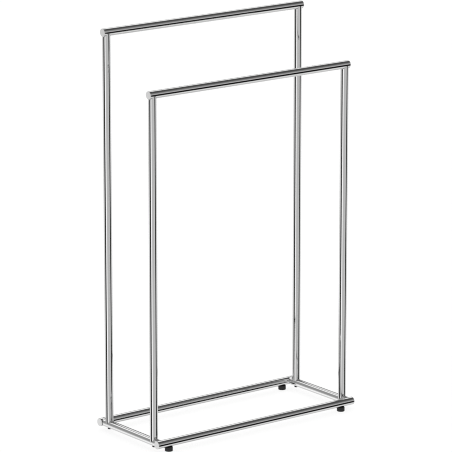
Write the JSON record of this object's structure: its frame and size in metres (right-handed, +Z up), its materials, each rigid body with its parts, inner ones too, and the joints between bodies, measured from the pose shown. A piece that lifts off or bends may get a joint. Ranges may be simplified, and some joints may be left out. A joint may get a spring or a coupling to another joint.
{
  "type": "valet stand",
  "caption": "Free-standing valet stand of round chromed tube: a tall rear hoop and a lower front hoop on a rectangular tube base with rubber feet.",
  "frame": {"origin": "on the floor, under the middle of the base", "axes": "+X along the bars to the right, +Y from the lower front hoop to the taller rear hoop, +Z up"},
  "size_m": [0.5, 0.21, 0.8272],
  "materials": {
    "chrome": "mirror-polished chrome plate",
    "zinc_steel": "zinc-plated",
    "screw_steel": "black oxide",
    "foot_rubber": "matte"
  },
  "bodies": {
    "root": {"rear_top_bar": "chrome", "rear_top_bar_left_cap": "chrome", "rear_top_bar_right_cap": "chrome", "rear_base_rail": "chrome", "rear_base_rail_left_cap": "chrome", "rear_base_rail_right_cap": "chrome", "rear_left_upright": "chrome", "rear_left_insert": "zinc_steel", "rear_left_screw": "screw_steel", "rear_left_foot": "foot_rubber", "rear_right_upright": "chrome", "rear_right_insert": "zinc_steel", "rear_right_screw": "screw_steel", "rear_right_foot": "foot_rubber", "front_top_bar": "chrome", "front_top_bar_left_cap": "chrome", "front_top_bar_right_cap": "chrome", "front_base_rail": "chrome", "front_base_rail_left_cap": "chrome", "front_base_rail_right_cap": "chrome", "front_left_upright": "chrome", "front_left_insert": "zinc_steel", "front_left_screw": "screw_steel", "front_left_foot": "foot_rubber", "front_right_upright": "chrome", "front_right_insert": "zinc_steel", "front_right_screw": "screw_steel", "front_right_foot": "foot_rubber", "left_side_rail": "chrome", "right_side_rail": "chrome"}
  },
  "joints": []
}
